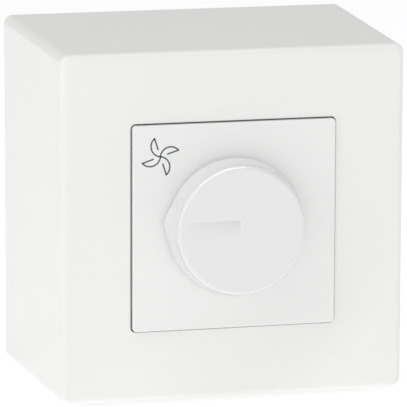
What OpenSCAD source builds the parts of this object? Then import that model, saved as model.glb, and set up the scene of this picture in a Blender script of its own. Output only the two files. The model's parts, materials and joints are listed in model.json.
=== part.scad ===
// Surface-mounted rotary fan speed controller.
// The modules below draw in a wall frame: X to the right, Y up, Z out of the wall.
// placed() turns that frame so that Z is up and the front looks along -Y.
// The origin is the centre of the back face, in the plane of the wall.

/* [Housing] */
// Width and height of the housing at its front face
hood_w = 82; // [82:1:88]
// Depth of the housing from the wall to its front face
hood_d = 57.4; // [56:0.2:66]
// How much further out each side stands at the wall than at the front
hood_draft = 1.2; // [0.4:0.1:1.6]
// Thickness of the housing's side walls
hood_wall = 2.2; // [1.6:0.1:2.4]
// Thickness of the housing's front wall
hood_front = 2.4; // [2:0.1:2.6]
// Radius of the edges that run from the wall to the front
hood_corner_r = 3.6; // [2.4:0.2:4]
// Radius of the edge around the front face
hood_edge_r = 1.5; // [0.6:0.1:2]

/* [Centre plate] */
// Width and height of the centre plate
plate_w = 48.4; // [48:0.1:49]
// Gap between the centre plate and the housing, on each side
plate_gap = 0.3; // [0.2:0.05:0.5]
// How far the centre plate stands proud of the housing
plate_proud = 0.9; // [0.2:0.1:1]

/* [Knob] */
// Radius of the knob next to the centre plate
knob_base_r = 16; // [15.6:0.1:17]
// Radius of the knob at its face
knob_face_r = 15.1; // [14.6:0.1:15.4]
// Height of the knob's face above the centre plate
knob_h = 7.2; // [6.8:0.1:8]
// Running gap between the knob and the centre plate
knob_gap = 0.3; // [0.3:0.1:0.5]
// Width of the pointer recess in the knob's face
pointer_w = 5.4; // [4:0.2:6]
// Depth of the pointer recess at the knob's centre
pointer_depth = 0.6; // [0.4:0.1:0.8]
// How far the pointer's nose stands out from the side of the knob
nose_out = 1.05; // [0.6:0.05:1.4]
// How far the nose is turned up from the pointer's centre line, in degrees
nose_turn = 4; // [0:1:8]

/* [Wall fixing] */
// Distance between the two wall screws
wall_pitch = 60; // [56:1:62]
// Width of each wall slot
wall_slot_w = 4.2; // [3.6:0.2:5]
// Length of each wall slot, end to end
wall_slot_len = 8; // [6:0.5:9]
// Bore of the cable grommet
cable_d = 8; // [6:0.5:9]

/* [Support ring] */
// Width and height of the steel support ring
ring_w = 71; // [70:0.5:71]
// Thickness of the support ring
ring_t = 1.2; // [1:0.1:1.4]
// Distance between the two screws that hold the support ring
ring_pitch = 60; // [60:0.1:60.4]

/* [Control] */
// Diameter of the potentiometer's spindle
spindle_d = 6; // [6:0.1:6]
// Diameter of the potentiometer's threaded bushing
bushing_d = 10; // [10:0.1:10]
// Width across the flats of the bushing's nuts
nut_af = 14; // [13:0.5:14]

/* [Hidden] */
$fn = 64;
eps = 0.01;

// Levels, measured out of the wall
plate_z = hood_d + plate_proud;
knob_z = plate_z + knob_gap;
knob_face_z = plate_z + knob_h;
ledge_z = hood_d - 3.4;
ledge_t = 2;
ring_z = hood_d - 9.4;
ring_front = ring_z + ring_t;
lid_t = 1.7;
lid_z = ring_z - lid_t;
board_front = lid_z - 11.3;
board_t = 1.6;
board_back = board_front - board_t;
case_wall = 1.6;
step_z = board_back - case_wall;
case_z = lid_z - 28.8;
case_floor = case_z + case_wall;

// Fits
spindle_r = spindle_d / 2;
running_fit = 0.05;
seat_fit = 0.02;
clear = 0.2;

// Wall base
base_floor = 2.5;
base_wall = 2;
base_rim = 10;
base_half = hood_w / 2 - 1.8;
post_r = 4;
post_bore_r = 1.5;
grommet_y = -14;
grommet_flange_r = 8;
grommet_neck_r = 6.5;
grommet_flange_t = 0.8;
grommet_seat = 3;

// Electronics case, seen from the front
case_half_w = 25;
case_top = 24;
case_bottom = -25;
step_y = -12.6;
column_r = 2.8;
column_places = [[-22, 21], [22, 21], [-22, -22], [22, -22]];
trimmer_at = [16, 15];

// Potentiometer and its switch
pot_r = 12;
pot_depth = 5.1;
pot_z = lid_z - pot_depth;
wafer_t = 1.2;
wafer_z = pot_z - wafer_t;
track_t = 0.2;
rotor_z = pot_z + 1.4;
rotor_t = 1.4;
can_r = 11;
can_wall = 0.8;
can_z = wafer_z - 4.4;
bushing_r = bushing_d / 2;
bushing_end = plate_z + 0.9;
spindle_end = knob_face_z - 2.3;
arm_pivot = [-7.8, 0];
arm_z = can_z + can_wall + 0.6;
arm_t = 1.2;
arm_reach = 6.2;

// Centre plate well, where the nut is hidden under the knob
well_r = 11;
well_floor_t = 1.5;
well_floor = plate_z - 2.1;
washer_t = 0.5;
nut_t = 2;
nut_r = nut_af / 2 / cos(30);

// Knob
knob_wall = 1.4;
knob_top_t = 1.8;
knob_edge_r = 0.8;
hub_r = 4.6;
hub_z = bushing_end + 0.4;
spindle_flat = 1.5;
spring_t = 0.4;

// Terminals
pole_pitch = 7.5;
poles = [-1, 0, 1];
block_half_w = 1.5 * pole_pitch;
block_y = [-23.2, -13.2];
block_z = board_back - 12.4;
clamp_z = board_back - 8.9;
clamp_size = [5, 6, 7];
clamp_y = -18.2;

// Choke, fuse, triac
choke_at = [-11.7, 5, board_back - 3.8];
choke_r = 7.5;
choke_core_r = 2.8;
choke_wire_r = 0.35;
choke_turns = 20;
fuse_at = [-11, 19.3, board_back - 3.5];
fuse_len = 20;
fuse_r = 2.6;
sink_t = 1.5;
sink_right = 21.8;
sink_z = case_floor;
tab_z = sink_z + sink_t;
tab_t = 1.3;
triac_x = 12;

white = [0.93, 0.93, 0.92];
steel = [0.72, 0.73, 0.75];
brass = [0.80, 0.66, 0.36];
black = [0.13, 0.13, 0.14];

// ---------- shared shapes ----------

// Turns the wall frame into the object's frame
module placed() {
    rotate([90, 0, 0]) children();
}

// Rectangle with true round corners, centred
module round_rect(w, h, r) {
    square([w - 2 * r, h], center = true);
    square([w, h - 2 * r], center = true);
    for (sx = [-1, 1], sy = [-1, 1])
        translate([sx * (w / 2 - r), sy * (h / 2 - r)]) circle(r);
}

// Slab with round corners between two levels
module slab(w, h, r, z0, z1) {
    translate([0, 0, z0]) linear_extrude(z1 - z0) round_rect(w, h, r);
}

// Box given by its low and high corners
module block(low, high) {
    translate(low) cube(high - low);
}

// Upright cylinder at a place between two levels
module rod(at, r, z0, z1) {
    translate([at[0], at[1], z0]) cylinder(r = r, h = z1 - z0);
}

// Slot with round ends, running along Y, between two levels
module slot(at, r, len, z0, z1) {
    for (s = [-1, 1])
        rod([at[0], at[1] + s * (len / 2 - r)], r, z0, z1);
    block([at[0] - r, at[1] - len / 2 + r, z0], [at[0] + r, at[1] + len / 2 - r, z1]);
}

// Pan-head screw standing on a level, with a driver slot across its head
module screw(at, shank_r, tip_z, head_r, seat_z, head_t) {
    difference() {
        union() {
            rod(at, shank_r, tip_z, seat_z);
            rod(at, head_r, seat_z, seat_z + head_t);
        }
        block([at[0] - head_r, at[1] - 0.4, seat_z + head_t * 0.45],
              [at[0] + head_r, at[1] + 0.4, seat_z + head_t + eps]);
    }
}

// Axial component lying along Y on the front of the board, on its two bent leads
module axial(at, body_r, body_len, lead_r) {
    lead_len = body_len + 4;
    z = board_front + body_r + 0.3;
    translate([at[0], at[1], z]) rotate([90, 0, 0]) {
        cylinder(r = body_r, h = body_len, center = true);
        cylinder(r = lead_r, h = lead_len, center = true);
    }
    for (s = [-1, 1])
        rod([at[0], at[1] + s * (lead_len / 2 - lead_r)], lead_r, board_front, z);
}

// Half the housing's outer width at a level
function hood_half(z) = hood_w / 2 + hood_draft * (1 - z / hood_d);

// ---------- casing ----------

// Outer skin of the housing, drafted towards the front and rounded on its edges
module hood_skin() {
    hull() {
        hood_layer(0, 0, hood_corner_r);
        for (a = [0:15:90])
            hood_layer(hood_d - hood_edge_r * (1 - sin(a)) - eps,
                       hood_edge_r * (1 - cos(a)), hood_corner_r);
    }
}

module hood_layer(z, inset, r) {
    half = hood_half(z) - inset;
    corner = r - inset;
    translate([0, 0, z]) linear_extrude(eps)
        for (sx = [-1, 1], sy = [-1, 1])
            translate([sx * (half - corner), sy * (half - corner)])
                circle(corner, $fn = 32);
}

// Space inside the housing, following its draft
module hood_hollow() {
    top = hood_d - hood_front;
    inner_r = 1;
    hull()
        for (z = [-1, top - eps])
            translate([0, 0, z]) linear_extrude(eps)
                for (sx = [-1, 1], sy = [-1, 1])
                    translate([sx, sy] * (hood_half(z) - hood_wall - inner_r))
                        circle(inner_r, $fn = 32);
}

module housing_cover() {
    recess_w = plate_w + 2 * plate_gap;
    collar_w = recess_w + 3.2;
    mouth_w = recess_w - 5;
    color(white) placed() difference() {
        union() {
            difference() {
                hood_skin();
                hood_hollow();
            }
            slab(collar_w, collar_w, 2, ledge_z - ledge_t, hood_d - hood_front + eps);
        }
        slab(recess_w, recess_w, 1.2, ledge_z, hood_d + 1);
        slab(mouth_w, mouth_w, 1, ledge_z - ledge_t - 1, ledge_z + eps);
    }
}

module wall_base() {
    color(white) placed() difference() {
        union() {
            slab(2 * base_half, 2 * base_half, 2, 0, base_floor);
            base_edge();
            rod([0, grommet_y], grommet_flange_r + 2, 0, grommet_seat);
            for (side = [-1, 1]) base_post(side);
        }
        for (side = [-1, 1]) {
            slot([0, side * wall_pitch / 2], wall_slot_w / 2, wall_slot_len, -1, base_floor + 1);
            rod([side * ring_pitch / 2, 0], post_bore_r, ring_z - 13, ring_z + 1);
        }
        rod([0, grommet_y], grommet_neck_r, -1, grommet_seat + 1);
        rod([0, grommet_y], grommet_flange_r, -1, grommet_flange_t);
    }
}

// Upstanding edge that locates the housing
module base_edge() {
    difference() {
        slab(2 * base_half, 2 * base_half, 2, 0, base_rim);
        slab(2 * (base_half - base_wall), 2 * (base_half - base_wall), 1, 1, base_rim + 1);
    }
}

// Post for one support ring screw, tied to the base by three ribs
module base_post(side) {
    x = side * ring_pitch / 2;
    rib_t = 1.6;
    rib_top = ring_z - 14;
    rib_reach = 8;
    rod([x, 0], post_r, 0, ring_z);
    for (turn = [-90, 0, 90])
        translate([x, 0, 0]) mirror([side < 0 ? 1 : 0, 0, 0]) rotate([0, 0, turn])
            rotate([90, 0, 0]) translate([0, 0, -rib_t / 2]) linear_extrude(rib_t)
                polygon([[0, 1], [rib_reach, 1], [rib_reach, base_floor + 4], [post_r - 1, rib_top], [0, rib_top]]);
}

module cable_grommet() {
    color(black) placed() difference() {
        union() {
            rod([0, grommet_y], grommet_flange_r - 0.1, 0, grommet_flange_t);
            rod([0, grommet_y], grommet_neck_r - seat_fit, 0, grommet_seat);
            rod([0, grommet_y], grommet_flange_r, grommet_seat, grommet_seat + 1);
        }
        rod([0, grommet_y], cable_d / 2, -1, grommet_seat + 2);
    }
}

module support_ring() {
    color(steel) placed() difference() {
        slab(ring_w, ring_w, 4, ring_z, ring_front);
        rod([0, 0], bushing_r + clear, ring_z - 1, ring_front + 1);
        rod(trimmer_at, 2, ring_z - 1, ring_front + 1);
        for (at = column_places) rod(at, 1.4, ring_z - 1, ring_front + 1);
        for (side = [-1, 1]) {
            slot([side * ring_pitch / 2, 0], 1.8, 8, ring_z - 1, ring_front + 1);
            slot([0, side * ring_pitch / 2], 1.8, 8, ring_z - 1, ring_front + 1);
        }
    }
}

module ring_screws() {
    color(steel) placed() for (side = [-1, 1])
        screw([side * ring_pitch / 2, 0], post_bore_r - running_fit, ring_z - 10, 3, ring_front, 2.2);
}

// ---------- electronics case ----------

module module_lid() {
    color(black) placed() difference() {
        case_plate(0, lid_z, ring_z);
        rod([0, 0], bushing_r + clear, lid_z - 1, ring_z + 1);
        rod(trimmer_at, 2, lid_z - 1, ring_z + 1);
        for (at = column_places) rod(at, 1.4, lid_z - 1, ring_z + 1);
    }
}

// Full outline of the electronics case, inset all round, between two levels
module case_plate(inset, z0, z1) {
    w = 2 * (case_half_w - inset);
    h = case_top - case_bottom - 2 * inset;
    translate([0, (case_top + case_bottom) / 2, 0]) slab(w, h, 1.5 - inset / 2, z0, z1);
}

// Deep part of the electronics case, above the terminals
module case_deep(inset, z0, z1) {
    block([-case_half_w + inset, step_y + inset, z0], [case_half_w - inset, case_top - inset, z1]);
}

module module_case() {
    color(black) placed() difference() {
        union() {
            difference() {
                union() {
                    case_plate(0, step_z, lid_z);
                    case_deep(0, case_z, step_z + eps);
                }
                case_plate(case_wall, board_back, lid_z + 1);
                case_deep(case_wall, case_floor, board_back + eps);
            }
            for (at = column_places) case_column(at);
            board_ribs();
        }
        for (at = column_places) rod(at, 1.1, board_front + 1, lid_z + 1);
        block([-block_half_w - clear, block_y[0] - clear, step_z - 1],
              [block_half_w + clear, block_y[1] + clear, board_back + 1]);
    }
}

// Screw column in a corner, kept inside the case's outline
module case_column(at) {
    intersection() {
        rod(at, column_r, board_front, lid_z);
        case_plate(0, board_front, lid_z);
    }
}

// Ribs that carry the circuit board away from the terminals
module board_ribs() {
    inner = case_half_w - case_wall;
    block([-inner - eps, 14, case_floor - eps], [-inner + 1.4, 16, board_back]);
    block([inner - 1.4, -2, case_floor - eps], [inner + eps, 0, board_back]);
}

module module_screws() {
    color(steel) placed() for (at = column_places)
        screw(at, 1.1 - seat_fit, lid_z - 7, 2.2, ring_front, 1.4);
}

module circuit_board() {
    color([0.20, 0.42, 0.26]) placed()
        block([-23, -23, board_back], [23, 22, board_front]);
}

// ---------- potentiometer and switch ----------

module pot_body() {
    front_t = 1;
    color(steel) placed() difference() {
        rod([0, 0], pot_r, pot_z, lid_z);
        rod([0, 0], pot_r - 1.2, pot_z - 1, lid_z - front_t);
        rod([0, 0], bushing_r + seat_fit, pot_z, lid_z + 1);
    }
}

module pot_bushing() {
    flange_z = lid_z - 2;
    color(brass) placed() difference() {
        union() {
            rod([0, 0], bushing_r + 1.5, flange_z, lid_z - 1);
            rod([0, 0], bushing_r, flange_z, bushing_end);
        }
        rod([0, 0], spindle_r + running_fit, flange_z - 1, bushing_end + 1);
    }
}

module pot_track() {
    color([0.45, 0.30, 0.16]) placed() {
        difference() {
            union() {
                rod([0, 0], pot_r, wafer_z, pot_z);
                block([-7, -14.5, wafer_z], [7, 0, pot_z]);
                rod([0, 0], 9.2, pot_z - eps, pot_z + track_t);
            }
            rod([0, 0], 7, pot_z, pot_z + 1);
            rod([0, 0], spindle_r + 0.4, wafer_z - 1, pot_z + 1);
        }
    }
}

module pot_terminals() {
    tag_t = 0.5;
    color(brass) placed() for (x = [-5, 0, 5]) {
        block([x - 0.8, -15.5, wafer_z - tag_t], [x + 0.8, -11.6, wafer_z]);
        block([x - 0.8, -15.5, board_front], [x + 0.8, -15, wafer_z]);
    }
}

// Hexagon nut with a round bore
module hex_nut(bore_r, z0) {
    difference() {
        translate([0, 0, z0]) cylinder(r = nut_r, h = nut_t, $fn = 6);
        rod([0, 0], bore_r, z0 - 1, z0 + nut_t + 1);
    }
}

module pot_nut() {
    color(steel) placed() hex_nut(bushing_r + seat_fit, ring_front);
}

module switch_can() {
    color(steel) placed() {
        difference() {
            rod([0, 0], can_r, can_z, wafer_z);
            rod([0, 0], can_r - can_wall, can_z + can_wall, wafer_z + 1);
        }
        rod(arm_pivot, 0.8, can_z + can_wall - eps, arm_z + arm_t + 0.4);
    }
}

// Moving contact of the mains switch: hub on its pivot, tip towards the cam, blade towards the contact
module switch_arm() {
    color(brass) placed() difference() {
        union() {
            rod(arm_pivot, 1.5, arm_z, arm_z + arm_t);
            block([arm_pivot[0], -0.5, arm_z], [-4.9, 0.5, arm_z + arm_t]);
            translate([arm_pivot[0], arm_pivot[1], arm_z]) rotate([0, 0, -14])
                translate([-0.5, 0, 0]) cube([1, arm_reach, arm_t]);
        }
        rod(arm_pivot, 0.8 + running_fit, arm_z - 1, arm_z + arm_t + 1);
    }
}

// Fixed contacts of the mains switch
module switch_contacts() {
    color(brass) placed() {
        rod([-4.4, 6.9], 0.9, can_z + can_wall, wafer_z - 0.6);
        rod([-7.6, -4.6], 0.7, can_z + can_wall, wafer_z - 0.6);
    }
}

// Cam on the end of the spindle that throws the switch arm at the end of its turn
module switch_cam() {
    cam_z = arm_z + 0.2;
    cam_t = 1.6;
    color(white) placed() difference() {
        union() {
            rod([0, 0], 4.4, cam_z, cam_z + cam_t);
            block([-0.9, 0, cam_z], [0.9, 5.9, cam_z + cam_t]);
        }
        rod([0, 0], spindle_r + seat_fit, cam_z - 1, cam_z + cam_t + 1);
    }
}

module pot_shaft() {
    color(steel) placed() difference() {
        rod([0, 0], spindle_r, arm_z - 0.2, spindle_end);
        block([-spindle_r - 1, spindle_flat, hub_z - 0.2], [spindle_r + 1, spindle_r + 1, spindle_end + 1]);
    }
}

module pot_rotor() {
    color(white) placed() difference() {
        rod([0, 0], 9, rotor_z, rotor_z + rotor_t);
        rod([0, 0], spindle_r + seat_fit, rotor_z - 1, rotor_z + rotor_t + 1);
    }
}

// Sprung contact under the rotor, riding over the track
module pot_wiper() {
    wiper_z = pot_z + track_t + 0.3;
    color(brass) placed() difference() {
        union() {
            rod([0, 0], 5, wiper_z + 0.5, rotor_z);
            block([-8.8, -1.2, wiper_z + 0.5], [8.8, 1.2, rotor_z]);
            block([-8.8, -1.2, wiper_z], [-7.4, 1.2, rotor_z]);
            block([7.4, -1.2, wiper_z], [8.8, 1.2, rotor_z]);
        }
        rod([0, 0], spindle_r + clear, wiper_z - 1, rotor_z + 1);
    }
}

// ---------- centre plate and knob ----------

module centre_plate() {
    rim_t = 1.6;
    skin_t = 1.8;
    edge_r = 0.9;
    inner_w = plate_w - 2 * rim_t;
    color(white) placed() difference() {
        union() {
            difference() {
                slab(plate_w, plate_w, edge_r, ledge_z, plate_z);
                slab(inner_w, inner_w, edge_r, ledge_z - 1, plate_z - skin_t);
            }
            rod([0, 0], well_r + 1.5, well_floor - well_floor_t, plate_z - eps);
        }
        rod([0, 0], well_r, well_floor, plate_z + 1);
        rod([0, 0], bushing_r + clear, ledge_z - 1, plate_z + 1);
    }
}

module plate_washer() {
    color(steel) placed() difference() {
        rod([0, 0], 9, well_floor, well_floor + washer_t);
        rod([0, 0], bushing_r + clear, well_floor - 1, well_floor + 1);
    }
}

module plate_nut() {
    color(steel) placed() hex_nut(bushing_r + seat_fit, well_floor + washer_t);
}

// Half-section of the knob's outer skin, with a true round edge at its face
module knob_profile(inset) {
    base_r = knob_base_r - inset;
    face_r = knob_face_r - inset;
    face_z = knob_face_z - (inset > 0 ? knob_top_t : 0);
    low_z = knob_z - (inset > 0 ? 1 : 0);
    polygon([[0, low_z], [base_r, low_z], [face_r, face_z - knob_edge_r],
             [face_r - knob_edge_r, face_z], [0, face_z]]);
    translate([face_r - knob_edge_r, face_z - knob_edge_r]) circle(knob_edge_r);
}

// Wedge on the side of the knob that points out the setting
module knob_nose() {
    spread = 11;
    side = (knob_base_r - 0.2) * [-cos(spread), sin(spread)];
    polyhedron(
        points = [
            [-knob_base_r - nose_out, 0, knob_z],
            [side[0], side[1], knob_z],
            [side[0], -side[1], knob_z],
            [-knob_face_r + 0.1, 0, knob_face_z - knob_edge_r]
        ],
        faces = [[0, 1, 2], [0, 3, 1], [1, 3, 2], [2, 3, 0]]);
}

// Recess that runs from the rim to the centre of the face and deepens on the way
module pointer_recess() {
    reach = knob_face_r;
    tilt = atan((pointer_depth - 0.1) / reach);
    translate([0, 0.2, knob_face_z - pointer_depth]) rotate([0, tilt, 0])
        translate([-reach - 1, -pointer_w / 2, 0]) cube([reach + 1, pointer_w, 3]);
}

module knob() {
    color(white) placed() difference() {
        union() {
            difference() {
                union() {
                    rotate_extrude($fn = 96) knob_profile(0);
                    rotate([0, 0, -nose_turn]) knob_nose();
                }
                rotate_extrude($fn = 96) knob_profile(knob_wall);
            }
            rod([0, 0], hub_r, hub_z, knob_face_z - knob_top_t + eps);
        }
        difference() {
            rod([0, 0], spindle_r + seat_fit, hub_z - 1, spindle_end + 0.1);
            block([-hub_r, spindle_flat + spring_t, hub_z - 2], [hub_r, hub_r, spindle_end + 1]);
        }
        pointer_recess();
    }
}

// Leaf spring between the spindle's flat and the knob's hub
module knob_spring() {
    color(steel) placed()
        block([-1.8, spindle_flat, hub_z], [1.8, spindle_flat + spring_t - seat_fit, spindle_end]);
}

// ---------- power parts ----------

module triac_body() {
    color(black) placed()
        block([triac_x - 5, -4, tab_z + tab_t], [triac_x + 5, 5.2, tab_z + 4.5]);
}

// Metal tab with its hole, and the three leads bent up to the board
module triac_tab() {
    lead_pitch = 2.54;
    lead_z = tab_z + 2.4;
    color(steel) placed() {
        difference() {
            block([triac_x - 5, -4, tab_z], [triac_x + 5, 11.7, tab_z + tab_t]);
            rod([triac_x, 9], 1.8, tab_z - 1, tab_z + 2);
        }
        for (i = [-1, 0, 1]) {
            x = triac_x + i * lead_pitch;
            block([x - 0.45, -8.6, lead_z], [x + 0.45, -4, lead_z + 0.6]);
            block([x - 0.45, -8.6, lead_z], [x + 0.45, -8, board_back]);
        }
    }
}

module triac_screw() {
    color(steel) placed() screw([triac_x, 9], 1.45, sink_z + 0.2, 2.7, tab_z + tab_t, 1.8);
}

// Aluminium angle on the floor of the case
module heat_sink() {
    color([0.78, 0.79, 0.80]) placed() difference() {
        union() {
            block([0.5, -10, sink_z], [sink_right, 21, tab_z]);
            block([sink_right - sink_t, 3, sink_z], [sink_right, 21, board_back - 1.4]);
        }
        rod([triac_x, 9], 1.45 + running_fit, sink_z - 1, tab_z + 1);
    }
}

module choke_core() {
    color([0.35, 0.36, 0.30]) placed() translate(choke_at)
        rotate_extrude() translate([choke_r, 0]) circle(choke_core_r);
}

module choke_winding() {
    turn_r = choke_core_r + choke_wire_r + 0.1;
    color([0.72, 0.40, 0.20]) placed() translate(choke_at)
        for (i = [0:choke_turns - 1])
            rotate([0, 0, i * 360 / choke_turns]) translate([choke_r, 0, 0]) rotate([90, 0, 0])
                rotate_extrude() translate([turn_r, 0]) circle(choke_wire_r);
}

module film_capacitor() {
    color([0.80, 0.62, 0.20]) placed()
        block([2, 14, board_back - 11], [20, 21.5, board_back]);
}

// Cylinder along X through the fuse's axis
module fuse_rod(r, x0, x1) {
    translate([x0, fuse_at[1], fuse_at[2]]) rotate([0, 90, 0]) cylinder(r = r, h = x1 - x0);
}

fuse_x0 = fuse_at[0] - fuse_len / 2;
fuse_x1 = fuse_at[0] + fuse_len / 2;
fuse_cap_len = 5;

module fuse_glass() {
    color([0.80, 0.88, 0.90, 0.5]) placed() difference() {
        fuse_rod(2.48, fuse_x0 + 0.5, fuse_x1 - 0.5);
        fuse_rod(1.9, fuse_x0, fuse_x1);
    }
}

module fuse_wire() {
    color(steel) placed() fuse_rod(0.15, fuse_x0 + 0.5, fuse_x1 - 0.5);
}

module fuse_caps() {
    color(steel) placed() difference() {
        fuse_rod(fuse_r, fuse_x0, fuse_x1);
        fuse_rod(2.5, fuse_x0 + 0.5, fuse_x1 - 0.5);
        fuse_rod(fuse_r + 1, fuse_x0 + fuse_cap_len, fuse_x1 - fuse_cap_len);
    }
}

module fuse_clips() {
    clip_r = fuse_r + 0.05;
    clip_t = 0.4;
    color(brass) placed() for (x = [fuse_x0 + 1, fuse_x1 - 4]) {
        difference() {
            fuse_rod(clip_r + clip_t, x, x + 3);
            fuse_rod(clip_r, x - 1, x + 4);
            block([x - 1, fuse_at[1] - 1.6, fuse_at[2] - 4], [x + 4, fuse_at[1] + 1.6, fuse_at[2]]);
        }
        block([x, fuse_at[1] - 1.4, fuse_at[2] + clip_r + 0.2], [x + 3, fuse_at[1] + 1.4, board_back]);
    }
}

// ---------- small parts on the front of the board ----------

module resistors() {
    color([0.75, 0.65, 0.48]) placed() for (x = [-20, -16.3, 20])
        axial([x, 0], 1.2, 6.5, 0.3);
}

module diac() {
    color([0.20, 0.30, 0.55]) placed() axial([16.3, 0], 1, 4, 0.25);
}

module trimmer_body() {
    half = 3.3;
    color([0.20, 0.35, 0.65]) placed() difference() {
        block([trimmer_at[0] - half, trimmer_at[1] - half, board_front],
              [trimmer_at[0] + half, trimmer_at[1] + half, board_front + 4]);
        rod(trimmer_at, 0.8 + running_fit, board_front + 1, board_front + 5);
    }
}

// Screwdriver rotor of the minimum-speed trimmer, on a pin in the trimmer's body
module trimmer_rotor() {
    head_z = board_front + 4.3;
    head_t = 1.5;
    color(white) placed() difference() {
        union() {
            rod(trimmer_at, 0.8, board_front + 1.5, head_z + eps);
            rod(trimmer_at, 2.4, head_z, head_z + head_t);
        }
        block([trimmer_at[0] - 3, trimmer_at[1] - 0.35, head_z + 0.7],
              [trimmer_at[0] + 3, trimmer_at[1] + 0.35, head_z + head_t + 1]);
    }
}

// ---------- terminals ----------

module terminal_block() {
    pocket = clamp_size + [0.2, 0.2, 0.2];
    color([0.30, 0.45, 0.32]) placed() difference() {
        block([-block_half_w, block_y[0], block_z], [block_half_w, block_y[1], board_back]);
        for (i = poles) {
            x = i * pole_pitch;
            translate([x - pocket[0] / 2, clamp_y - pocket[1] / 2, clamp_z - 0.1]) cube(pocket);
            translate([x, block_y[0] - 1, clamp_z + 4]) rotate([-90, 0, 0])
                cylinder(r = 1.9, h = clamp_y - block_y[0]);
            rod([x, clamp_y], 2.1, block_z - 1, clamp_z);
            rod([x, clamp_y], 0.7, clamp_z, board_back + 1);
        }
    }
}

// Brass cage of each pole, with its wire hole, its thread and its pin to the board
module terminal_clamps() {
    color(brass) placed() for (i = poles) {
        x = i * pole_pitch;
        difference() {
            union() {
                translate([x - clamp_size[0] / 2, clamp_y - clamp_size[1] / 2, clamp_z]) cube(clamp_size);
                rod([x, clamp_y], 0.65, clamp_z, board_back);
            }
            translate([x, clamp_y - 5, clamp_z + 4]) rotate([-90, 0, 0]) cylinder(r = 1.9, h = 10);
            rod([x, clamp_y], 1.5, clamp_z - 1, clamp_z + 4);
        }
    }
}

module terminal_screws() {
    head_z = block_z + 0.4;
    head_t = 1.4;
    color(steel) placed() for (i = poles) {
        at = [i * pole_pitch, clamp_y];
        difference() {
            union() {
                rod(at, 1.9, head_z, head_z + head_t);
                rod(at, 1.5 - running_fit, head_z, clamp_z + 1.8);
            }
            block([at[0] - 3, at[1] - 0.35, head_z - 1], [at[0] + 3, at[1] + 0.35, head_z + 0.6]);
        }
    }
}

housing_cover();
wall_base();
cable_grommet();
support_ring();
ring_screws();
module_lid();
module_case();
module_screws();
circuit_board();
pot_body();
pot_bushing();
pot_track();
pot_terminals();
pot_nut();
switch_can();
switch_contacts();
switch_arm();
switch_cam();
pot_shaft();
pot_rotor();
pot_wiper();
centre_plate();
plate_washer();
plate_nut();
knob();
knob_spring();
triac_body();
triac_tab();
triac_screw();
heat_sink();
choke_core();
choke_winding();
film_capacitor();
fuse_glass();
fuse_wire();
fuse_caps();
fuse_clips();
resistors();
diac();
trimmer_body();
trimmer_rotor();
terminal_block();
terminal_clamps();
terminal_screws();
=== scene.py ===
"""Looks of a surface-mounted rotary fan speed controller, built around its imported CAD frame.

Shapes are worked out in the wall frame of the design, in millimetres: x to the right, y up, z out of
the wall. wall() turns such a point into the frame's metres, where the front looks along -Y.
"""

import json
import math

import bmesh
import bpy
from mathutils import Matrix, Vector


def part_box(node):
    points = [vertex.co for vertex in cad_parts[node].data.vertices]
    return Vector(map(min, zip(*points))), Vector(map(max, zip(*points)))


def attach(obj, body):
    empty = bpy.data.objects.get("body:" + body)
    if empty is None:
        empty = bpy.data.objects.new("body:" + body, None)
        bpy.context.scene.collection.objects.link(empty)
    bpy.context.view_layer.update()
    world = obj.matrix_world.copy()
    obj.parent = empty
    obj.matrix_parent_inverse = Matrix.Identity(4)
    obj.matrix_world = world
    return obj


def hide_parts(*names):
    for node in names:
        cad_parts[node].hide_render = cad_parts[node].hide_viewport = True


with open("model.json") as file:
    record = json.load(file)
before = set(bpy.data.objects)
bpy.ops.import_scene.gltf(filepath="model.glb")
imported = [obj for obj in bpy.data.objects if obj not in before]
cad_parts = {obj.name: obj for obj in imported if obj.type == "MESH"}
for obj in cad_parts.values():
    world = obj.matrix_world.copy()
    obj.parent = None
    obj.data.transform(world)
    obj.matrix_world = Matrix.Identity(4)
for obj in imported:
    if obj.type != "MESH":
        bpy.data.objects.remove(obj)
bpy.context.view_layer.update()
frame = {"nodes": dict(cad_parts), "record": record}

MM = 0.001
CORNER_STEPS = 16
SHARP_ANGLE = math.radians(38)


# ---------- sizes, from the frame ----------

def wall_box(node):
    """Low and high corner of a CAD node in the wall frame, in millimetres."""
    low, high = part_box(node)
    return (Vector((low.x, low.z, -high.y)) / MM, Vector((high.x, high.z, -low.y)) / MM)


hood_high = wall_box("housing_cover")[1]
plate_low, plate_high = wall_box("centre_plate")
knob_low, knob_high = wall_box("knob")
washer_low = wall_box("plate_washer")[0]
bushing_high = wall_box("pot_bushing")[1]
shaft_high = wall_box("pot_shaft")[1]
grommet_low, grommet_high = wall_box("cable_grommet")

HOOD_DEPTH = hood_high.z
HOOD_BACK = hood_high.x
HOOD_DRAFT = 1.2
HOOD_WALL = 2.2
HOOD_FRONT_WALL = 2.4
HOOD_CORNER = 2.2
HOOD_EDGE = 1.5
PLATE_HALF = plate_high.x
PLATE_FACE = plate_high.z
PLATE_BACK = plate_low.z
PLATE_GAP = 0.3
PLATE_SHIFT = 0.05
PLATE_EDGE = 0.4
PLATE_CORNER = 0.9
PLATE_SKIN = 1.8
PLATE_RIM = 1.6
WELL_R = 11.0
WELL_FLOOR = washer_low.z
WELL_FLOOR_T = 1.5
BUSHING_HOLE = 5.2
KNOB_BASE_R = knob_high.x
KNOB_FACE_R = 15.1
KNOB_BACK = knob_low.z
KNOB_FACE = knob_high.z
KNOB_EDGE = 0.8
KNOB_NOSE = 1.05


# ---------- mesh helpers ----------

def wall(x, y, z):
    """A point of the wall frame, in millimetres, as the frame's metres."""
    return Vector((x * MM, -z * MM, y * MM))


def rounded_square(half, corner, z):
    """One loop of points around a square with round corners."""
    points = []
    for quarter in range(4):
        cx, cy = [(1, 1), (-1, 1), (-1, -1), (1, -1)][quarter]
        for i in range(CORNER_STEPS + 1):
            a = math.radians(90 * quarter + 90 * i / CORNER_STEPS)
            points.append((cx * (half - corner) + corner * math.cos(a),
                           cy * (half - corner) + corner * math.sin(a), z))
    return points


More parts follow.
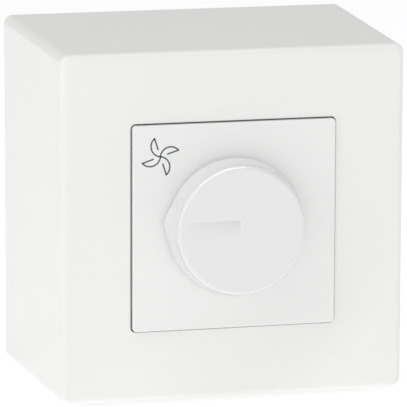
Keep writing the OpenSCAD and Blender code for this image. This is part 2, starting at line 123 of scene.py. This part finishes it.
def circle_loop(radius, z):
    """One loop around a circle, with as many points as a rounded square has."""
    count = 4 * (CORNER_STEPS + 1)
    turns = [2 * math.pi * (i + 0.5) / count for i in range(count)]
    return [(radius * math.cos(a), radius * math.sin(a), z) for a in turns]


def add_loop(bm, points):
    """Vertices at points of the wall frame."""
    return [bm.verts.new(wall(*p)) for p in points]


def skin(bm, a, b):
    """A band of quads between two loops with the same number of points."""
    n = len(a)
    return [bm.faces.new((a[i], a[(i + 1) % n], b[(i + 1) % n], b[i])) for i in range(n)]


def finish_mesh(name, bm, weighted=True):
    """Turns a bmesh into an object with outward, smooth normals that break at sharp edges."""
    bmesh.ops.remove_doubles(bm, verts=bm.verts, dist=0.0005 * MM)
    bmesh.ops.recalc_face_normals(bm, faces=bm.faces)
    for face in bm.faces:
        face.smooth = True
    for edge in bm.edges:
        if len(edge.link_faces) == 2 and edge.calc_face_angle() > SHARP_ANGLE:
            edge.smooth = False
    mesh = bpy.data.meshes.new(name)
    bm.to_mesh(mesh)
    bm.free()
    obj = bpy.data.objects.new(name, mesh)
    bpy.context.scene.collection.objects.link(obj)
    if weighted:
        normals = obj.modifiers.new("flat faces keep flat", "WEIGHTED_NORMAL")
        normals.keep_sharp = True
        normals.weight = 100
    return obj


def closed_loft(name, loops):
    """A solid whose surface runs through the loops and back to the first one."""
    bm = bmesh.new()
    rings = [add_loop(bm, points) for points in loops]
    for a, b in zip(rings, rings[1:] + rings[:1]):
        skin(bm, a, b)
    return finish_mesh(name, bm)


def arc_steps(count):
    """Angles of a quarter turn, from 0 to 90 degrees."""
    return [math.pi / 2 * i / count for i in range(count + 1)]


# ---------- housing ----------

def hood_half(z):
    """Half the hood's width at a distance from the wall."""
    return HOOD_BACK - HOOD_DRAFT * z / HOOD_DEPTH


def make_housing():
    """One-piece hood: drafted sides, round edges, a recess with a ledge for the centre plate."""
    recess = PLATE_HALF + PLATE_GAP
    recess_corner = PLATE_CORNER + PLATE_GAP
    lip = 0.2
    rim = 0.2
    mouth = recess - 2.5
    mouth_corner = 1.0
    collar = recess + 1.6
    collar_corner = 2.0
    inner_corner = 1.0
    ledge = PLATE_BACK
    ledge_t = 2.0
    inner_front = HOOD_DEPTH - HOOD_FRONT_WALL
    loops = [
        rounded_square(hood_half(0) - rim, HOOD_CORNER - rim, 0),
        rounded_square(hood_half(rim), HOOD_CORNER, rim),
    ]
    for a in arc_steps(10):
        inset = HOOD_EDGE * (1 - math.cos(a))
        z = HOOD_DEPTH - HOOD_EDGE * (1 - math.sin(a))
        loops.append(rounded_square(hood_half(z) - inset, HOOD_CORNER - inset, z))
    for a in arc_steps(4):
        out = lip * (1 - math.sin(a))
        z = HOOD_DEPTH - lip * (1 - math.cos(a))
        loops.append(rounded_square(recess + out, recess_corner + out, z))
    loops += [
        rounded_square(recess, recess_corner, ledge),
        rounded_square(mouth, mouth_corner, ledge),
        rounded_square(mouth, mouth_corner, ledge - ledge_t),
        rounded_square(collar, collar_corner, ledge - ledge_t),
        rounded_square(collar, collar_corner, inner_front),
        rounded_square(hood_half(inner_front) - HOOD_WALL, inner_corner, inner_front),
        rounded_square(hood_half(rim) - HOOD_WALL, inner_corner, rim),
        rounded_square(hood_half(0) - HOOD_WALL + rim, inner_corner + rim, 0),
    ]
    return closed_loft("housing_shell", loops)


def make_plate():
    """Centre plate: skirt, round edge, flat face and nut well, seated a hair off its opening's middle."""
    well_lip = 0.3
    well_wall = 1.5
    inner_corner = 0.5
    chamfer = 0.2
    loops = [
        rounded_square(PLATE_HALF - chamfer, PLATE_CORNER - chamfer, PLATE_BACK),
        rounded_square(PLATE_HALF, PLATE_CORNER, PLATE_BACK + chamfer),
    ]
    for a in arc_steps(6):
        inset = PLATE_EDGE * (1 - math.cos(a))
        z = PLATE_FACE - PLATE_EDGE * (1 - math.sin(a))
        loops.append(rounded_square(PLATE_HALF - inset, PLATE_CORNER - inset, z))
    for a in arc_steps(4):
        z = PLATE_FACE - well_lip * (1 - math.cos(a))
        loops.append(circle_loop(WELL_R + well_lip * (1 - math.sin(a)), z))
    loops += [
        circle_loop(WELL_R, WELL_FLOOR),
        circle_loop(BUSHING_HOLE, WELL_FLOOR),
        circle_loop(BUSHING_HOLE, WELL_FLOOR - WELL_FLOOR_T),
        circle_loop(WELL_R + well_wall, WELL_FLOOR - WELL_FLOOR_T),
        circle_loop(WELL_R + well_wall, PLATE_FACE - PLATE_SKIN),
        rounded_square(PLATE_HALF - PLATE_RIM, inner_corner, PLATE_FACE - PLATE_SKIN),
        rounded_square(PLATE_HALF - PLATE_RIM, inner_corner, PLATE_BACK),
    ]
    seated = [[(x + PLATE_SHIFT, y - PLATE_SHIFT, z) for x, y, z in loop] for loop in loops]
    return closed_loft("plate_moulding", seated)


# ---------- knob ----------

# the side's flare towards the base, and the nose on the left, which is turned up from the pointer
KNOB_FLARE = 2.8
NOSE_SPREAD = math.radians(15)
NOSE_TURN_BASE = math.radians(5)
NOSE_TURN_RIM = math.radians(3)
NOSE_AT_RIM = 0.16
# the pointer recess; DEEPEST and OUTER are shares of its half width
POINTER_MIDDLE = 0.5
POINTER_HALF = 2.6
POINTER_DEEPEST = 0.72
POINTER_OUTER = 1.06
POINTER_RISE = 1.5
POINTER_DEPTH = 0.5
POINTER_RIM_DEPTH = 0.25
POINTER_CORNER = 1.5
POINTER_RIM_R = 14.0
POINTER_FADE = 1.8
POINTER_END_WALL = 0.5


def smooth_step(t):
    """Eases from 0 to 1, and stays there outside."""
    t = min(1.0, max(0.0, t))
    return t * t * (3 - 2 * t)


def knob_angles():
    """Angles around the knob, close together where the nose is."""
    fine = 36
    coarse = 124
    middle = math.pi - (NOSE_TURN_BASE + NOSE_TURN_RIM) / 2
    reach = NOSE_SPREAD * 1.4
    around_nose = [middle + reach * (2 * i / fine - 1) for i in range(fine)]
    rest = 2 * math.pi - 2 * reach
    return around_nose + [middle + reach + rest * i / coarse for i in range(coarse)]


def nose_height(angle, share):
    """How far the side stands out at an angle, where share is 0 at the base and 1 at the rim."""
    ridge_at = math.pi - NOSE_TURN_BASE + (NOSE_TURN_BASE - NOSE_TURN_RIM) * share
    off = abs((angle - ridge_at + math.pi) % (2 * math.pi) - math.pi) / NOSE_SPREAD
    blunt = 0.1
    wedge = 1 - math.hypot(off, blunt) + blunt
    foot = 0.15
    rise = wedge if wedge > foot else max(0.0, wedge + foot) ** 2 / (4 * foot)
    return rise * (KNOB_NOSE * (1 - share) + NOSE_AT_RIM * share)


def knob_loop(radius, z, angles, share=None):
    """A loop around the knob; share says how far up the side it lies, None is a plain circle."""
    points = []
    for a in angles:
        r = radius if share is None else radius + nose_height(a, share)
        points.append((r * math.cos(a), r * math.sin(a), z))
    return points


def trough(across):
    """Depth share across the pointer: a soft upper wall, and a floor that rises to the face below."""
    if across > POINTER_DEEPEST:
        return 1 - smooth_step((across - POINTER_DEEPEST) / (POINTER_OUTER - POINTER_DEEPEST))
    return max(0.0, (across + POINTER_OUTER) / (POINTER_DEEPEST + POINTER_OUTER)) ** POINTER_RISE


def pointer_depth(x, y, edge_x):
    """Depth of the pointer recess at a point, where edge_x is the end wall's top at that height."""
    along = min(1.0, max(0.0, (x + POINTER_RIM_R) / POINTER_RIM_R))
    floor = POINTER_RIM_DEPTH + (POINTER_DEPTH - POINTER_RIM_DEPTH) * along
    from_rim = POINTER_RIM_R - math.hypot(x, y + POINTER_MIDDLE)
    fade_in = smooth_step(from_rim / POINTER_FADE)
    fade_out = smooth_step((edge_x - x) / POINTER_END_WALL)
    return floor * trough(y / POINTER_HALF) * fade_in * fade_out


def pointer_grid():
    """Rows of points over the pointer recess, from the rim to the end wall, with y from low to high."""
    outer = POINTER_HALF * POINTER_OUTER
    across_steps = 36
    wall_steps = 8
    floor_steps = 34
    rows = []
    for i in range(across_steps + 1):
        y = -outer * math.cos(math.pi * i / across_steps)
        into_corner = max(0.0, abs(y) - (outer - POINTER_CORNER))
        end_x = math.sqrt(POINTER_CORNER ** 2 - into_corner ** 2) - POINTER_CORNER
        rim_x = -math.sqrt(POINTER_RIM_R ** 2 - (y + POINTER_MIDDLE) ** 2)
        xs = [end_x - POINTER_END_WALL * k / wall_steps for k in range(wall_steps + 1)]
        start = xs[-1]
        xs += [start + (rim_x - start) * (k + 1) / floor_steps for k in range(floor_steps)]
        rows.append([(x, y + POINTER_MIDDLE, KNOB_FACE - pointer_depth(x, y, end_x))
                     for x in reversed(xs)])
    return rows


def rim_profile():
    """Points over the rim from the side to the face: round, with a nearly flat bevel halfway."""
    flat_from, flat_to = math.radians(41), math.radians(49)
    flat_r = 3.6
    steps = 4
    flat_share = flat_r * (math.cos(flat_from) - math.cos(flat_to))
    round_r = (KNOB_EDGE - flat_share) / (1 - math.cos(flat_from) + math.cos(flat_to))
    turns = [flat_from * i / steps for i in range(steps + 1)]
    turns += [flat_to + (math.pi / 2 - flat_to) * i / steps for i in range(steps + 1)]
    x, z = KNOB_FACE_R, KNOB_FACE - KNOB_EDGE
    points = []
    for a, b in zip(turns, turns[1:]):
        r = flat_r if a == flat_from else round_r
        x -= r * (math.cos(a) - math.cos(b))
        z += r * (math.sin(b) - math.sin(a))
        points.append((x, z))
    return points


def make_knob():
    """Knob: flared side with its nose, bevelled rim, face with the pointer recess, and the hollow inside."""
    angles = knob_angles()
    wall_t = 1.4
    top_t = 1.8
    hub_r = 4.6
    bore_r = shaft_high.x + 0.02
    flat_y = 1.9
    hub_back = bushing_high.z + 0.4
    bore_end = shaft_high.z + 0.1
    foot = 0.25
    fillet = 0.5
    side_top = KNOB_FACE - KNOB_EDGE
    side_steps = 14
    bm = bmesh.new()
    loops = [knob_loop(KNOB_BASE_R - foot, KNOB_BACK, angles, 0)]
    for i in range(side_steps + 1):
        share = i / side_steps
        z = KNOB_BACK + foot + (side_top - KNOB_BACK - foot) * share
        flare = (KNOB_BASE_R - KNOB_FACE_R) * (1 - share) ** KNOB_FLARE
        loops.append(knob_loop(KNOB_FACE_R + flare, z, angles, share))
    rim = rim_profile()
    for i, (x, z) in enumerate(rim):
        loops.append(knob_loop(x, z, angles, 1 if i < len(rim) - 1 else None))
    rings = [add_loop(bm, points) for points in loops]
    for a, b in zip(rings, rings[1:]):
        skin(bm, a, b)
    # the hollow under the face, the hub and its bore
    under = [
        knob_loop(KNOB_BASE_R - wall_t + foot, KNOB_BACK, angles),
        knob_loop(KNOB_BASE_R - wall_t, KNOB_BACK + foot, angles),
        knob_loop(KNOB_FACE_R - wall_t, KNOB_FACE - top_t - fillet, angles),
        knob_loop(KNOB_FACE_R - wall_t - fillet, KNOB_FACE - top_t, angles),
        knob_loop(hub_r, KNOB_FACE - top_t, angles),
        knob_loop(hub_r, hub_back + foot, angles),
        knob_loop(hub_r - foot, hub_back, angles),
        knob_loop(bore_r, hub_back, angles),
        knob_loop(bore_r, bore_end, angles),
    ]
    # the bore has a flat side, like the shaft
    for i in (-1, -2):
        under[i] = [(x, min(y, flat_y), z) for x, y, z in under[i]]
    inner = [add_loop(bm, points) for points in under]
    skin(bm, rings[0], inner[0])
    for a, b in zip(inner, inner[1:]):
        skin(bm, a, b)
    bm.faces.new(inner[-1])
    # the pointer recess, and the flat face between it and the rim
    grid = [add_loop(bm, row) for row in pointer_grid()]
    for low_row, high_row in zip(grid, grid[1:]):
        for i in range(len(low_row) - 1):
            bm.faces.new((low_row[i], low_row[i + 1], high_row[i + 1], high_row[i]))
    border = grid[0] + [row[-1] for row in grid[1:]] + grid[-1][-2::-1] + [row[0] for row in grid[-2:0:-1]]
    edges = [bm.edges.get((ring[i], ring[(i + 1) % len(ring)]))
             for ring in (rings[-1], border) for i in range(len(ring))]
    bmesh.ops.triangle_fill(bm, edges=edges, use_beauty=True)
    return finish_mesh("knob_moulding", bm)


# ---------- wall base and grommet ----------

KNOCKOUT_AT = (0, 14)
KNOCKOUT_R = 6.5
GROOVE_W = 0.5
GROOVE_DEPTH = 0.4
PIN_MARK_R = 2.2
PIN_MARK_DEPTH = 0.15
PIN_MARKS = [(x, y) for x in (-33, 33) for y in (-33, 33)] + [(-16, 0), (16, 0)]
BASE_EDGE = 0.2


def add_tube(bm, at, outer, inner, low, high):
    """A closed ring with a rectangular section, or a disc where inner is 0."""
    steps = 48
    turns = [2 * math.pi * i / steps for i in range(steps)]

    def ring(r, z):
        return add_loop(bm, [(at[0] + r * math.cos(a), at[1] + r * math.sin(a), z) for a in turns])

    rings = [ring(outer, low), ring(outer, high)]
    if inner:
        rings += [ring(inner, high), ring(inner, low)]
        for a, b in zip(rings, rings[1:] + rings[:1]):
            skin(bm, a, b)
    else:
        skin(bm, rings[0], rings[1])
        bm.faces.new(rings[0][::-1])
        bm.faces.new(rings[1])


def back_cutter():
    """What the mould leaves in the base's back: a knock-out's groove and the ejector pin marks."""
    bm = bmesh.new()
    below = -1.0
    add_tube(bm, KNOCKOUT_AT, KNOCKOUT_R + GROOVE_W, KNOCKOUT_R, below, GROOVE_DEPTH)
    for at in PIN_MARKS:
        add_tube(bm, at, PIN_MARK_R, 0, below, PIN_MARK_DEPTH)
    bmesh.ops.recalc_face_normals(bm, faces=bm.faces)
    mesh = bpy.data.meshes.new("back_cutter")
    bm.to_mesh(mesh)
    bm.free()
    obj = bpy.data.objects.new("back_cutter", mesh)
    bpy.context.scene.collection.objects.link(obj)
    return obj


def welded_copy(node):
    """A bmesh of a CAD node with its split vertices joined and its flat faces merged."""
    bm = bmesh.new()
    bm.from_mesh(frame["nodes"][node].data)
    bmesh.ops.remove_doubles(bm, verts=bm.verts, dist=0.0005 * MM)
    bmesh.ops.dissolve_limit(bm, angle_limit=math.radians(0.5), verts=bm.verts, edges=bm.edges)
    return bm


def round_edges(bm, width):
    """Bevels the sharp edges to a small round."""
    edges = [e for e in bm.edges if e.is_manifold and e.calc_face_angle() > SHARP_ANGLE]
    bmesh.ops.bevel(bm, geom=edges, offset=width * MM, segments=3, profile=0.5, affect="EDGES",
                    clamp_overlap=True)


def make_base():
    """Wall base: the CAD shape with the marks of its mould in the back and soft edges."""
    mesh = bpy.data.meshes.new("base_blank")
    bm = welded_copy("wall_base")
    bm.to_mesh(mesh)
    bm.free()
    blank = bpy.data.objects.new("base_blank", mesh)
    bpy.context.scene.collection.objects.link(blank)
    cutter = back_cutter()
    cut = blank.modifiers.new("mould marks", "BOOLEAN")
    cut.operation = "DIFFERENCE"
    cut.solver = "EXACT"
    cut.object = cutter
    bpy.context.view_layer.update()
    cut_mesh = blank.evaluated_get(bpy.context.evaluated_depsgraph_get()).to_mesh()
    bm = bmesh.new()
    bm.from_mesh(cut_mesh)
    for used in (blank, cutter):
        bpy.data.objects.remove(used)
    round_edges(bm, BASE_EDGE)
    return finish_mesh("base_moulding", bm)


def rounded_outline(corners):
    """A closed outline through corners (u, v, size), each cut short by its size with a small curve."""
    points = []
    steps = 5
    for i, (u, v, size) in enumerate(corners):
        here = Vector((u, v))
        start = here + (Vector(corners[i - 1][:2]) - here).normalized() * size
        end = here + (Vector(corners[(i + 1) % len(corners)][:2]) - here).normalized() * size
        for k in range(steps + 1):
            t = k / steps
            points.append(start * (1 - t) ** 2 + here * 2 * t * (1 - t) + end * t ** 2)
    return points


def make_grommet():
    """Rubber grommet: two lips around the base's edge and a soft bead around its bore."""
    at = (0.0, (grommet_low.y + grommet_high.y) / 2)
    lip_r = grommet_high.x
    bore_r = 4.0
    neck_r = 6.45
    dip = 0.35
    back_lip_r = lip_r - 0.1
    back_lip_t = 0.78
    front_lip_back = 3.02
    front = grommet_high.z
    # from the bore outwards over the back, in along the neck, and over the front lip to the bore again
    corners = [
        (bore_r, 0.0, 0.3),
        (bore_r + 0.9, 0.0, 0.2),
        (bore_r + 1.2, dip, 0.15),
        (bore_r + 1.7, dip, 0.15),
        (bore_r + 2.0, 0.0, 0.2),
        (back_lip_r, 0.0, 0.3),
        (back_lip_r, back_lip_t, 0.15),
        (neck_r, back_lip_t, 0.1),
        (neck_r, front_lip_back, 0.1),
        (lip_r, front_lip_back, 0.2),
        (lip_r, front, 0.4),
        (bore_r, front, 0.35),
    ]
    steps = 96
    bm = bmesh.new()
    outline = rounded_outline(corners)
    rings = []
    for i in range(steps):
        a = 2 * math.pi * i / steps
        rings.append(add_loop(bm, [(at[0] + p.x * math.cos(a), at[1] + p.x * math.sin(a), p.y)
                                   for p in outline]))
    for a, b in zip(rings, rings[1:] + rings[:1]):
        skin(bm, a, b)
    return finish_mesh("grommet_moulding", bm)


# ---------- fan pictogram ----------

SYMBOL_AT = (-17.69, 16.88)
SYMBOL_TIP_R = 4.5
SYMBOL_LINE_R = 1.8
SYMBOL_TIP_ANGLE = 18
SYMBOL_STROKE = 0.34
INK_T = 0.02


def ribbon(bm, path, width):
    """A flat printed line of one width with round ends, standing just proud of the plate."""
    half = width / 2
    left, right = [], []
    for i, p in enumerate(path):
        before, after = path[max(i - 1, 0)], path[min(i + 1, len(path) - 1)]
        along = (after - before).normalized()
        side = Vector((-along.y, along.x)) * half
        left.append(p + side)
        right.append(p - side)

    def cap(centre, start):
        steps = 6
        first = math.atan2(start.y, start.x)
        turns = [first - math.pi * k / steps for k in range(1, steps)]
        return [centre + Vector((math.cos(a), math.sin(a))) * half for a in turns]

    outline = left + cap(path[-1], left[-1] - path[-1]) + right[::-1] + cap(path[0], right[0] - path[0])
    top = [bm.verts.new(wall(p.x, p.y, PLATE_FACE + INK_T)) for p in outline]
    low = [bm.verts.new(wall(p.x, p.y, PLATE_FACE - INK_T)) for p in outline]
    bm.faces.new(top)
    bm.faces.new(low[::-1])
    skin(bm, low, top)


def symbol_strokes():
    """The strokes of a four-bladed fan: for each blade a curve from the hub and a straight back edge."""
    strokes = []
    # a blade's curve is an arc from the hub to the tip, whose centre lies below its chord
    chord = SYMBOL_TIP_R / 2
    drop = 0.959
    radius = math.hypot(chord, drop)
    centre = Vector(SYMBOL_AT)
    start = math.atan2(drop, -chord)
    end = math.atan2(drop, chord)
    arc_count = 18
    line_count = 3
    turns = [start + (end - start) * i / arc_count for i in range(arc_count + 1)]
    along = [SYMBOL_TIP_R + (SYMBOL_LINE_R - SYMBOL_TIP_R) * i / line_count for i in range(line_count + 1)]
    for blade in range(4):
        turn = math.radians(SYMBOL_TIP_ANGLE + 90 * blade)
        c, s = math.cos(turn), math.sin(turn)

        def place(x, y):
            return centre + Vector((c * x - s * y, s * x + c * y))

        strokes.append([place(chord + radius * math.cos(a), -drop + radius * math.sin(a)) for a in turns])
        strokes.append([place(x, 0) for x in along])
    return strokes


def make_symbol():
    """The fan pictogram as one printed piece."""
    bm = bmesh.new()
    for path in symbol_strokes():
        ribbon(bm, path, SYMBOL_STROKE)
    return finish_mesh("fan_symbol", bm, weighted=False)


# ---------- materials ----------

def shader(name, color, roughness, metallic=0.0, specular=0.5, coat=0.0):
    """A new material with its constants on the shader's own sockets."""
    material = bpy.data.materials.new(name)
    material.use_nodes = True
    bsdf = material.node_tree.nodes["Principled BSDF"]
    bsdf.inputs["Base Color"].default_value = (*color, 1)
    bsdf.inputs["Roughness"].default_value = roughness
    bsdf.inputs["Metallic"].default_value = metallic
    bsdf.inputs["Specular IOR Level"].default_value = specular
    bsdf.inputs["Coat Weight"].default_value = coat
    bsdf.inputs["Coat Roughness"].default_value = 0.07
    return material, bsdf


def noise(material, scale, detail=3.0, rough=0.5, stretch=None):
    """A noise texture in the object's own coordinates; scale is in features per metre."""
    nodes, links = material.node_tree.nodes, material.node_tree.links
    coords = nodes.new("ShaderNodeTexCoord")
    texture = nodes.new("ShaderNodeTexNoise")
    texture.inputs["Scale"].default_value = scale
    texture.inputs["Detail"].default_value = detail
    texture.inputs["Roughness"].default_value = rough
    if stretch:
        mapping = nodes.new("ShaderNodeMapping")
        mapping.inputs["Scale"].default_value = stretch
        links.new(coords.outputs["Object"], mapping.inputs["Vector"])
        links.new(mapping.outputs["Vector"], texture.inputs["Vector"])
    else:
        links.new(coords.outputs["Object"], texture.inputs["Vector"])
    return texture


def spread(material, source, low, high, socket):
    """Maps a texture's 0..1 onto low..high and sends it to a socket."""
    node = material.node_tree.nodes.new("ShaderNodeMapRange")
    node.inputs["From Min"].default_value = 0.3
    node.inputs["From Max"].default_value = 0.7
    node.inputs["To Min"].default_value = low
    node.inputs["To Max"].default_value = high
    material.node_tree.links.new(source.outputs["Fac"], node.inputs["Value"])
    material.node_tree.links.new(node.outputs["Result"], socket)


def tint(material, source, dark, light, socket):
    """Varies a colour between two close tones with a texture."""
    nodes, links = material.node_tree.nodes, material.node_tree.links
    mix = nodes.new("ShaderNodeMix")
    mix.data_type = "RGBA"
    mix.inputs["A"].default_value = (*dark, 1)
    mix.inputs["B"].default_value = (*light, 1)
    links.new(source.outputs["Fac"], mix.inputs["Factor"])
    links.new(mix.outputs["Result"], socket)


def bumps(material, bsdf, source, strength, distance):
    """Raises and lowers the surface with a texture."""
    nodes, links = material.node_tree.nodes, material.node_tree.links
    bump = nodes.new("ShaderNodeBump")
    bump.inputs["Strength"].default_value = strength
    bump.inputs["Distance"].default_value = distance
    links.new(source.outputs["Fac"], bump.inputs["Height"])
    links.new(bump.outputs["Normal"], bsdf.inputs["Normal"])


def shade(color, factor):
    """A colour made lighter or darker by a factor."""
    return tuple(min(1.0, c * factor) for c in color)


def moulded(name, color, roughness, grain=2600, grain_depth=0.004, variation=0.012, coat=0.0):
    """Injection-moulded plastic: cloudy tone, uneven gloss and the fine grain of the mould."""
    material, bsdf = shader(name, color, roughness, coat=coat)
    clouds = noise(material, 35, detail=2)
    dark, light = shade(color, 1 - variation), shade(color, 1 + variation)
    tint(material, clouds, dark, light, bsdf.inputs["Base Color"])
    polish = noise(material, 160, detail=4)
    spread(material, polish, roughness * 0.88, roughness * 1.14, bsdf.inputs["Roughness"])
    fine = noise(material, grain, detail=2)
    bumps(material, bsdf, fine, 0.35, grain_depth * MM)
    return material


def metal(name, color, roughness, stretch=(1, 1, 1)):
    """Rolled or plated metal: a drawn grain, stains and uneven gloss."""
    material, bsdf = shader(name, color, roughness, metallic=1.0)
    stains = noise(material, 220, detail=5)
    tint(material, stains, shade(color, 0.86), shade(color, 1.08), bsdf.inputs["Base Color"])
    grain = noise(material, 1800, detail=3, stretch=stretch)
    spread(material, grain, roughness * 0.7, roughness * 1.35, bsdf.inputs["Roughness"])
    bumps(material, bsdf, grain, 0.4, 0.006 * MM)
    return material


def dress(obj, material):
    """Gives an object one material."""
    obj.data.materials.clear()
    obj.data.materials.append(material)


record_color = {m["slot"]: tuple(m["base_color"][:3]) for m in frame["record"]["materials"]}
node_slot = {s["node"]: s["material_slot"] for s in frame["record"]["subparts"]}

# the knob's gloss adds light of its own, so its colour is taken down a little
KNOB_TONE = 0.955
record_color["knob_white"] = shade(record_color["knob_white"], KNOB_TONE)

METALS = ("zinc_steel", "bare_brass", "sink_aluminium", "wire_copper")
INNER_PLASTIC = dict(roughness=0.45, grain=1500, grain_depth=0.01, variation=0.05)
OUTER_PLASTIC = {
    "housing_white": dict(roughness=0.32),
    "plate_white": dict(roughness=0.32),
    "knob_white": dict(roughness=0.2, grain_depth=0.001, coat=1.0),
    "base_white": dict(roughness=0.5, grain=1500, grain_depth=0.01),
    "grommet_black": dict(roughness=0.75, grain=1200, grain_depth=0.02),
}
materials = {}
for slot_name, tone in record_color.items():
    if slot_name in METALS:
        materials[slot_name] = metal(slot_name, tone, 0.35, stretch=(1, 0.15, 1))
    else:
        materials[slot_name] = moulded(slot_name, tone, **OUTER_PLASTIC.get(slot_name, INNER_PLASTIC))

for node_name, node_object in frame["nodes"].items():
    dress(node_object, materials[node_slot[node_name]])

ink, ink_bsdf = shader("symbol_ink", record_color["print_grey"], 0.45)
spread(ink, noise(ink, 5000, detail=2), 0.4, 0.55, ink_bsdf.inputs["Roughness"])


# ---------- pieces on the frame ----------

housing = make_housing()
dress(housing, materials["housing_white"])
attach(housing, "root")
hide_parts("housing_cover")

plate = make_plate()
dress(plate, materials["plate_white"])
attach(plate, "root")
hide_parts("centre_plate")

symbol = make_symbol()
dress(symbol, ink)
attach(symbol, "root")

knob = make_knob()
dress(knob, materials["knob_white"])
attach(knob, "control_spindle")
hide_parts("knob")

base = make_base()
dress(base, materials["base_white"])
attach(base, "root")
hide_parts("wall_base")

grommet = make_grommet()
dress(grommet, materials["grommet_black"])
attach(grommet, "root")
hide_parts("cable_grommet")


# ---------- stage, light and camera ----------

FLOOR_TONE = (0.9, 0.9, 0.9)
FLOOR_GLOW = 0.37
SKY_LIGHT = 0.518

scene = bpy.context.scene
scene.view_settings.view_transform = "Standard"

floor_bm = bmesh.new()
bmesh.ops.create_grid(floor_bm, x_segments=1, y_segments=1, size=6)
floor_mesh = bpy.data.meshes.new("floor")
floor_bm.to_mesh(floor_mesh)
floor_bm.free()
floor = bpy.data.objects.new("floor", floor_mesh)
floor.location = (0, 0, -HOOD_BACK * MM)
scene.collection.objects.link(floor)
floor_material, floor_bsdf = shader("floor_white", FLOOR_TONE, 0.9, specular=0.1)
floor_bsdf.inputs["Emission Color"].default_value = (1, 1, 1, 1)
floor_bsdf.inputs["Emission Strength"].default_value = FLOOR_GLOW
dress(floor, floor_material)

world = bpy.data.worlds.new("studio")
world.use_nodes = True
scene.world = world
background = world.node_tree.nodes["Background"]
background.inputs["Color"].default_value = (1, 1, 1, 1)
background.inputs["Strength"].default_value = SKY_LIGHT

LIT_POINT = Vector((0, -0.03, 0))
LIGHT_DISTANCE = 1.3
# each light's two ends, as degrees right of the front and degrees up, then its width and power
SOFTBOXES = {
    "left_strip": ((-73, 0), (-61, 48), 0.1, 1.8),
    "top_strip": ((-61, 48), (60, 70), 0.12, 3.0),
    "top_box": ((-90, 82), (30, 82), 0.36, 0.9),
    "front_box": ((-16.6, 10), (-3.4, 10), 0.3, 1.15),
    "right_box": ((73.4, 10), (86.6, 10), 0.3, 0.6),
    "upper_right_box": ((29, 60), (61, 60), 0.36, 0.3),
}


def set_axes(obj, at, side, up, back):
    """Puts an object somewhere with given local axes; lights and cameras look away from back."""
    obj.matrix_world = Matrix(((side.x, up.x, back.x, at.x), (side.y, up.y, back.y, at.y),
                               (side.z, up.z, back.z, at.z), (0, 0, 0, 1)))


def light_place(turn, rise):
    """The place of a light, given its direction from the part in degrees."""
    turn, rise = math.radians(turn), math.radians(rise)
    way = Vector((math.sin(turn) * math.cos(rise), -math.cos(turn) * math.cos(rise), math.sin(rise)))
    return LIT_POINT + way * LIGHT_DISTANCE


def softbox(name, start, end, width, power):
    """A flat light between two places, facing the part, that the camera doesn't see."""
    light = bpy.data.lights.new(name, "AREA")
    light.shape = "RECTANGLE"
    light.size = (end - start).length
    light.size_y = width
    light.energy = power
    obj = bpy.data.objects.new(name, light)
    middle = (start + end) / 2
    back = (middle - LIT_POINT).normalized()
    up = back.cross(end - start).normalized()
    set_axes(obj, middle, up.cross(back), up, back)
    obj.visible_camera = False
    scene.collection.objects.link(obj)


for light_name, (light_start, light_end, light_width, light_power) in SOFTBOXES.items():
    softbox(light_name, light_place(*light_start), light_place(*light_end), light_width, light_power)

camera_data = bpy.data.cameras.new("camera")
camera_data.sensor_width = 36
camera_data.lens = 382.53
camera_data.clip_start = 0.01
camera = bpy.data.objects.new("camera", camera_data)
scene.collection.objects.link(camera)
scene.camera = camera
CAMERA_AT = Vector((-0.2509, -1.0087, 0.19525))
YAW, PITCH, ROLL = math.radians(14.369), math.radians(10.948), math.radians(0.1825)


def aim(obj, at, yaw, pitch, roll):
    """Points a camera at a heading to the right of +Y, downwards by pitch, rolled about its view."""
    forward = Vector((math.sin(yaw) * math.cos(pitch), math.cos(yaw) * math.cos(pitch), -math.sin(pitch)))
    right = Vector((math.cos(yaw), -math.sin(yaw), 0))
    up = right.cross(forward)
    rolled_right = right * math.cos(roll) + up * math.sin(roll)
    rolled_up = up * math.cos(roll) - right * math.sin(roll)
    set_axes(obj, at, rolled_right, rolled_up, -forward)


aim(camera, CAMERA_AT, YAW, PITCH, ROLL)
